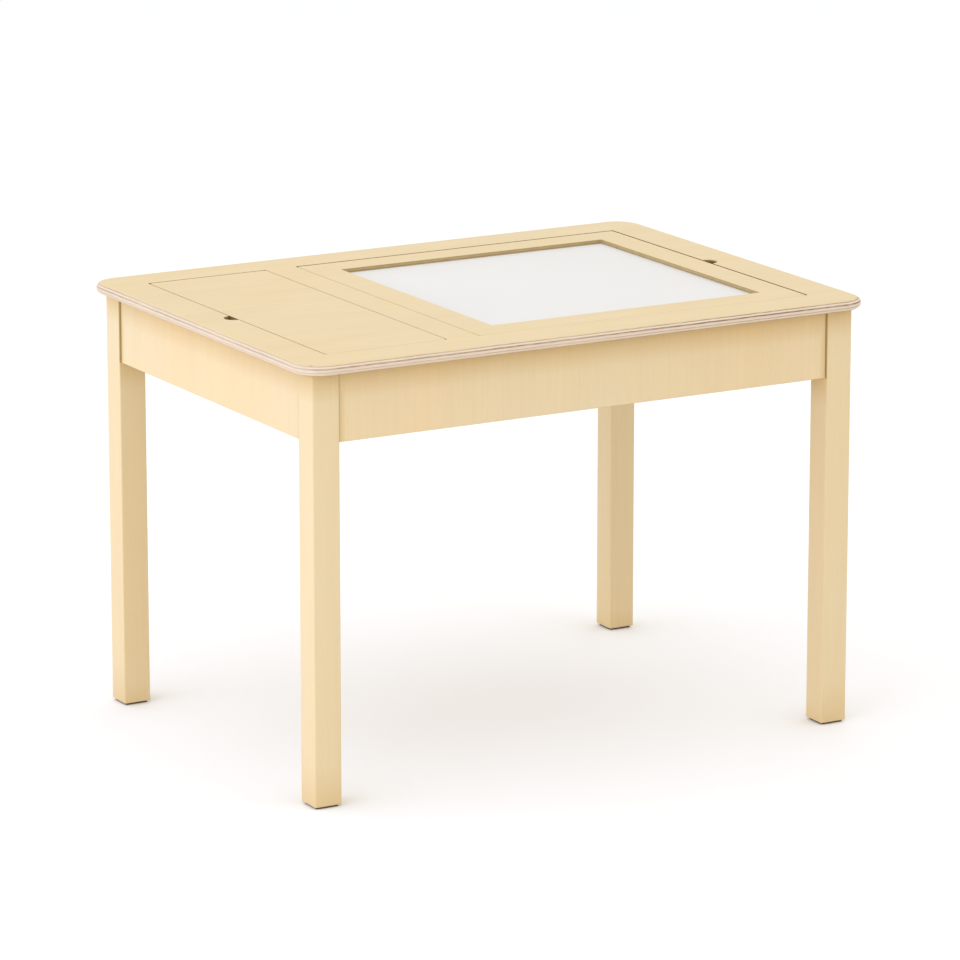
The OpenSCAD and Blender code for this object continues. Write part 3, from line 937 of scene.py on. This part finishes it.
def eased_board(context, node, material, width, shading=None, grooved=None):
    """A board of the table with its sharp edges rounded. Shading gives a face's cut and its painted shade, by
    its middle and normal. Grooved tells whether an edge, by its two ends, is rounded more, beside a joint."""
    shape = clean_copy(node)
    if grooved:
        edges = [edge for edge in sharp_edges(shape) if grooved(*(vert.co for vert in edge.verts))]
        ease(shape, edges, context.scene.play_table_sizes.groove)
        bmesh.ops.dissolve_degenerate(shape, dist=WELD, edges=shape.edges)
    ease(shape, sharp_edges(shape), width)
    layers = shape.faces.layers.float
    layers.new(CUT)
    layers.new(TONE)
    for face in shape.faces:
        how = shading(face.calc_center_median(), face.normal) if shading else UNCUT
        face[layers[CUT]], face[layers[TONE]] = how
    name = node + "_eased"
    show(context, name, smooth_mesh(context, shape, name, material), node)


# Further from a lid than any gap beside it, but less than the depth of a finger notch
NOTCH = 3 * MM
# How level a face of the top or a lid is, by its normal's Z, to count as its upper side or as its underside
UPPER_SIDE = 0.9999
LOWER_SIDE = -0.9
# How far an apron's face turns to its end, by its normal, to take the painted shade of a joint
TOWARDS_END = 0.25


def top_shading(node, rim, inner):
    """Cut and painted shade of the faces of the top or a lid: the walls further in than its rim, those in a
    recess further in still, those in the finger notches beyond the lids, and the underside."""
    low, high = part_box(node)
    left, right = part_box("lid_left")[0].x - NOTCH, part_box("lid_right")[1].x + NOTCH

    def shading(middle, normal):
        if normal.z < LOWER_SIDE:
            return UNDERSIDE
        depth = min(middle.x - low.x, high.x - middle.x, middle.y - low.y, high.y - middle.y)
        if depth < rim or normal.z > UPPER_SIDE:
            return UNCUT
        if abs(normal.z) > math.sin(SHARP):
            return UNCUT if depth > inner else ARRIS
        if not left < middle.x < right:
            return HOLLOW
        return RECESS if depth > inner else SHADED_CUT

    return shading


class PLAYTABLE_OT_top(bpy.types.Operator):
    """Makes the fixed top, with its rounded rim of plies, its openings and finger notches"""
    bl_idname = "play_table.top"
    bl_label = "Top"

    def execute(self, context):
        low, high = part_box("table_top")
        width = context.scene.play_table_sizes.opening_edge
        shading = top_shading("table_top", high.z - low.z, high.x)
        eased_board(context, "table_top", top_plywood(context), width, shading)
        return {"FINISHED"}


class PLAYTABLE_OT_lids(bpy.types.Operator):
    """Makes the two lift-out lids"""
    bl_idname = "play_table.lids"
    bl_label = "Lids"

    def execute(self, context):
        width = context.scene.play_table_sizes.lid_edge
        for node in ("lid_left", "lid_right"):
            low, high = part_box(node)
            shading = top_shading(node, 0.0, high.z - low.z)
            eased_board(context, node, top_plywood(context), width, shading)
        return {"FINISHED"}


class PLAYTABLE_OT_white_panel(bpy.types.Operator):
    """Makes the white panel in the right lid's recess"""
    bl_idname = "play_table.white_panel"
    bl_label = "White panel"

    def execute(self, context):
        width = context.scene.play_table_sizes.arris
        material = white_board(context.scene.play_table_colours.white)
        eased_board(context, "white_panel", material, width)
        return {"FINISHED"}


def corner_post(context, node, slot, tree, quarter, **measured):
    """Grows a leg or pad in the place of its node, turned by so many quarter turns."""
    low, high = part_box(node)
    place = Vector(((low.x + high.x) / 2, (low.y + high.y) / 2, low.z))
    turn = Quaternion((0, 0, 1), quarter * math.pi / 2)
    measured.update(width=high.x - low.x, length=high.z - low.z)
    grow(context, node, tree, [(place, turn)], measured)


def same_corner(points, corner):
    """Whether a solid lies on the same side of both of the table's middle planes as a point."""
    middle = middle_of(points)
    return middle.x * corner.x > 0 and middle.y * corner.y > 0


class PLAYTABLE_OT_legs(bpy.types.Operator):
    """Grows the four square legs, each with the hole for its hanger bolt"""
    bl_idname = "play_table.legs"
    bl_label = "Legs"

    def execute(self, context):
        sizes = context.scene.play_table_sizes
        # Leg wood with painted shade under the top, under the aprons, at the feet and in the joints
        wood = solid_wood("leg_wood", context.scene.play_table_colours.leg, Z, paint_shade=leg_painted_shade(context))
        tree = leg_shape(wood)
        for quarter, corner in enumerate(CORNERS):
            low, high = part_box("leg_" + corner)
            points = next(part for part in solids("hanger_bolts") if same_corner(part, low))
            start, length, along, radii = measure(points, outward(points))
            inner = Vector((min(abs(low.x), abs(high.x)), min(abs(low.y), abs(high.y)), 0))
            tip = start + outward(points) * length
            depth = (Vector((abs(tip.x), abs(tip.y), 0)) - inner).length
            corner_post(
                context, "leg_" + corner, "solid_birch", tree, quarter, bolt_height=start.z - low.z,
                bore=max(radii) + sizes.bolt_room, bore_depth=depth + sizes.leg_end,
            )
        return {"FINISHED"}


class PLAYTABLE_OT_foot_pads(bpy.types.Operator):
    """Grows the felt pads under the legs"""
    bl_idname = "play_table.foot_pads"
    bl_label = "Foot pads"

    def execute(self, context):
        tree = pad_shape(foot_felt(context.scene.play_table_colours.felt))
        for quarter, corner in enumerate(CORNERS):
            corner_post(context, "pad_" + corner, "foot_pad", tree, quarter)
        return {"FINISHED"}


class PLAYTABLE_OT_aprons(bpy.types.Operator):
    """Makes the four aprons between the legs, of plywood with upright grain"""
    bl_idname = "play_table.aprons"
    bl_label = "Aprons"

    def execute(self, context):
        tint = context.scene.play_table_colours.apron
        width = context.scene.play_table_sizes.arris
        for side, through in (("front", Y), ("back", Y), ("left", X), ("right", X)):
            node = "apron_" + side
            length = X if through == Y else Y
            # Painted shade under the top, beside the legs and along the lower edge
            look = {"figure": 0.07, "blotch": 0.06, "paint_shade": apron_painted_shade(context, node, length)}
            material = plywood(node + "_veneer", node, tint, Z, through, context, **look)
            low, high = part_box(node)
            outer = max(abs(low[through]), abs(high[through]))

            def at_end(point):
                return abs(abs(point[length]) - high[length]) < WELD

            def grooved(first, second):
                level = abs(first.z - second.z) < WELD
                outside = all(abs(abs(point[through]) - outer) < WELD for point in (first, second))
                return outside and not level and at_end(first) and at_end(second)

            # Faces turned towards a leg take the shadowed edge's painted shade
            def shading(middle, normal):
                return SHADOWED if abs(normal[length]) > TOWARDS_END else UNCUT

            eased_board(context, node, material, width, shading, grooved)
        return {"FINISHED"}


class PLAYTABLE_OT_ledges(bpy.types.Operator):
    """Makes the battens that carry the lids"""
    bl_idname = "play_table.ledges"
    bl_label = "Ledges"

    def execute(self, context):
        width = context.scene.play_table_sizes.arris
        for side, grain in (("front", X), ("back", X), ("left", Y), ("right", Y), ("centre", Y)):
            eased_board(context, "ledge_" + side, inner_wood(context, grain), width)
        return {"FINISHED"}


class PLAYTABLE_OT_storage(bpy.types.Operator):
    """Makes the storage floor and the divider between the wells"""
    bl_idname = "play_table.storage"
    bl_label = "Storage boards"

    def execute(self, context):
        tint = context.scene.play_table_colours.inner
        width = context.scene.play_table_sizes.arris
        for node, grain, through in (("storage_floor", X, Z), ("divider", Y, X)):
            name = node + "_veneer"
            material = plywood(name, node, tint, grain, through, context, THIN_LACQUER_ROUGHNESS)
            eased_board(context, node, material, width)
        return {"FINISHED"}


BEND_STEPS = 5
BEND_LIMIT = math.radians(60)


class PLAYTABLE_OT_brackets(bpy.types.Operator):
    """Makes the four corner brackets, with round bends and eased edges"""
    bl_idname = "play_table.brackets"
    bl_label = "Brackets"

    def execute(self, context):
        sizes = context.scene.play_table_sizes
        for corner in CORNERS:
            node = "bracket_" + corner
            shape = clean_copy(node)
            bends = [edge for edge in sharp_edges(shape) if edge.calc_face_angle() < BEND_LIMIT]
            inner = [edge for edge in bends if not edge.is_convex]
            outer = [edge for edge in bends if edge.is_convex]
            reach = math.tan(bends[0].calc_face_angle() / 2)
            thick = wall_thickness(node)
            ease(shape, inner, sizes.bend * reach, BEND_STEPS)
            ease(shape, [edge for edge in outer if edge.is_valid], (sizes.bend + thick) * reach, BEND_STEPS)
            square = [edge for edge in sharp_edges(shape) if edge.calc_face_angle() > BEND_LIMIT]
            ease(shape, square, sizes.steel_edge, 1)
            name = node + "_bent"
            show(context, name, smooth_mesh(context, shape, name, zinc_plate(context)), node)
        return {"FINISHED"}


def wall_thickness(node):
    """Thickness of a bracket's steel: the narrow side of its flange's end."""
    points = [vert.co for vert in frame["nodes"][node].data.vertices]
    end = min(abs(point.x) for point in points)
    return span_of([abs(point.y) for point in points if abs(abs(point.x) - end) < WELD])


def fasteners(context, node, tree, direction_of, sizes_of=None):
    """Grows all the fasteners of one node. They are alike, so the first one's solid gives their sizes."""
    parts = [(points, direction_of(points)) for points in solids(node)]
    places = [(measure(points, direction)[0], facing(direction)) for points, direction in parts]
    length, along, radii = measure(*parts[0])[1:]
    sizes = {"length": length, "radius": max(radii), "bore": min(radii)}
    if sizes_of:
        sizes.update(sizes_of(length, along, radii))
    grow(context, node, tree, places, sizes)


class PLAYTABLE_OT_hanger_bolts(bpy.types.Operator):
    """Grows the hanger bolts that hold the legs"""
    bl_idname = "play_table.hanger_bolts"
    bl_label = "Hanger bolts"

    def execute(self, context):
        fasteners(context, "hanger_bolts", bolt_shape(zinc_plate(context)), outward)
        return {"FINISHED"}


class PLAYTABLE_OT_washers_and_nuts(bpy.types.Operator):
    """Grows the washers and hexagon nuts on the hanger bolts"""
    bl_idname = "play_table.washers_and_nuts"
    bl_label = "Washers and nuts"

    def execute(self, context):
        fasteners(context, "bolt_washers", washer_shape(zinc_plate(context)), outward)
        fasteners(context, "bolt_nuts", nut_shape(zinc_plate(context)), outward)
        return {"FINISHED"}


def domed(length, along, radii):
    """Radii of a screw whose head widens from its face to its neck."""
    face = radius_at(0, along, radii)
    return {"radius": radius_at(length, along, radii), "face_radius": face, "neck_radius": max(radii)}


def countersunk(length, along, radii):
    """Radii of a screw whose head narrows from its face to the shank."""
    shank = radius_at(length, along, radii)
    return {"radius": shank, "face_radius": max(radii), "neck_radius": shank}


class PLAYTABLE_OT_screws(bpy.types.Operator):
    """Grows the screws of the brackets and of the ledges"""
    bl_idname = "play_table.screws"
    bl_label = "Screws"

    def execute(self, context):
        tree = screw_shape(zinc_plate(context))
        fasteners(context, "bracket_screws", tree, into_apron, domed)
        fasteners(context, "ledge_screws", tree, lambda points: Vector((0, 0, 1)), countersunk)
        return {"FINISHED"}


# ---- studio ----


def looking_from(azimuth, elevation):
    """Direction from the table to a viewer at that bearing and height."""
    level = math.cos(elevation)
    return Vector((math.sin(azimuth) * level, -math.cos(azimuth) * level, math.sin(elevation)))


def aim(thing, target, back, distance):
    """Puts a camera or light at a distance from its target, looking at it."""
    thing.location = target + back * distance
    thing.rotation_mode = "QUATERNION"
    thing.rotation_quaternion = (-back).to_track_quat("-Z", "Y")


def studio_floor(context, studio, tint):
    """A plain pale floor, level with the table's feet."""
    half = studio.floor_size / 2
    corners = [(-half, -half, 0), (half, -half, 0), (half, half, 0), (-half, half, 0)]
    mesh = bpy.data.meshes.new("studio_floor")
    mesh.from_pydata(corners, [], [(0, 1, 2, 3)])
    material, shader, place = new_material("pale_floor")
    fill(shader, {"Base Color": rgba(tint), "Roughness": 0.9, "Specular IOR Level": 0.0})
    mesh.materials.append(material)
    floor = bpy.data.objects.new("studio_floor", mesh)
    context.collection.objects.link(floor)


WHITE = (1.0, 1.0, 1.0)


def softbox(context, studio, name, tint, sides, power, back):
    """A broad rectangular light that looks at the table."""
    light = bpy.data.lights.new(name, "AREA")
    light.color = tint
    light.shape = "RECTANGLE"
    light.size, light.size_y = sides
    light.energy = power
    box = bpy.data.objects.new(name, light)
    context.collection.objects.link(box)
    aim(box, Vector(studio.target), back, studio.light_distance)


def studio_lights(context, studio):
    """White surroundings, a broad soft light at the left and another overhead."""
    world = bpy.data.worlds.new("white_surroundings")
    world.use_nodes = True
    fill(world.node_tree.nodes["Background"], {"Color": rgba(WHITE), "Strength": studio.sky})
    context.scene.world = world
    side = looking_from(studio.side_azimuth, studio.side_elevation)
    upright = (studio.side_width, studio.side_height)
    softbox(context, studio, "side_light", studio.side_colour, upright, studio.side_power, side)
    above = Vector((0, 0, 1))
    square = (studio.overhead_size, studio.overhead_size)
    softbox(context, studio, "overhead_light", WHITE, square, studio.overhead_power, above)


def studio_camera(context, studio):
    lens = bpy.data.cameras.new("camera")
    lens.lens = studio.focal_length
    camera = bpy.data.objects.new("camera", lens)
    context.collection.objects.link(camera)
    back = looking_from(studio.azimuth, studio.elevation)
    aim(camera, Vector(studio.target), back, studio.distance)
    context.scene.camera = camera


class PLAYTABLE_OT_studio(bpy.types.Operator):
    """Sets up the floor, the lights and the camera"""
    bl_idname = "play_table.studio"
    bl_label = "Studio"

    def execute(self, context):
        studio = context.scene.play_table_studio
        studio_camera(context, studio)
        studio_lights(context, studio)
        studio_floor(context, studio, context.scene.play_table_colours.floor)
        context.scene.view_settings.view_transform = "Standard"
        return {"FINISHED"}


# ---- panel and registration ----

PIECE_OPERATORS = (
    PLAYTABLE_OT_top,
    PLAYTABLE_OT_lids,
    PLAYTABLE_OT_white_panel,
    PLAYTABLE_OT_legs,
    PLAYTABLE_OT_foot_pads,
    PLAYTABLE_OT_aprons,
    PLAYTABLE_OT_ledges,
    PLAYTABLE_OT_storage,
    PLAYTABLE_OT_brackets,
    PLAYTABLE_OT_hanger_bolts,
    PLAYTABLE_OT_washers_and_nuts,
    PLAYTABLE_OT_screws,
)
GROUPS = {
    "play_table_sizes": PlayTableSizes,
    "play_table_colours": PlayTableColours,
    "play_table_studio": PlayTableStudio,
}


class PLAYTABLE_PT_panel(bpy.types.Panel):
    """Lists the table's sizes, colours and pieces"""
    bl_idname = "PLAYTABLE_PT_panel"
    bl_label = "Play table"
    bl_space_type = "VIEW_3D"
    bl_region_type = "UI"
    bl_category = "Play table"

    def draw(self, context):
        for group in GROUPS:
            box = self.layout.box()
            for name in getattr(context.scene, group).bl_rna.properties.keys():
                if name not in ("rna_type", "name"):
                    box.prop(getattr(context.scene, group), name)
        for operator in (*PIECE_OPERATORS, PLAYTABLE_OT_studio):
            self.layout.operator(operator.bl_idname)


CLASSES = (*GROUPS.values(), *PIECE_OPERATORS, PLAYTABLE_OT_studio, PLAYTABLE_PT_panel)


def register():
    for item in CLASSES:
        bpy.utils.register_class(item)
    for name, group in GROUPS.items():
        setattr(bpy.types.Scene, name, bpy.props.PointerProperty(type=group))


def unregister():
    for name in GROUPS:
        delattr(bpy.types.Scene, name)
    for item in reversed(CLASSES):
        bpy.utils.unregister_class(item)


def main():
    register()
    for operator in (*PIECE_OPERATORS, PLAYTABLE_OT_studio):
        family, name = operator.bl_idname.split(".")
        getattr(getattr(bpy.ops, family), name)()


if __name__ == "__main__":
    main()
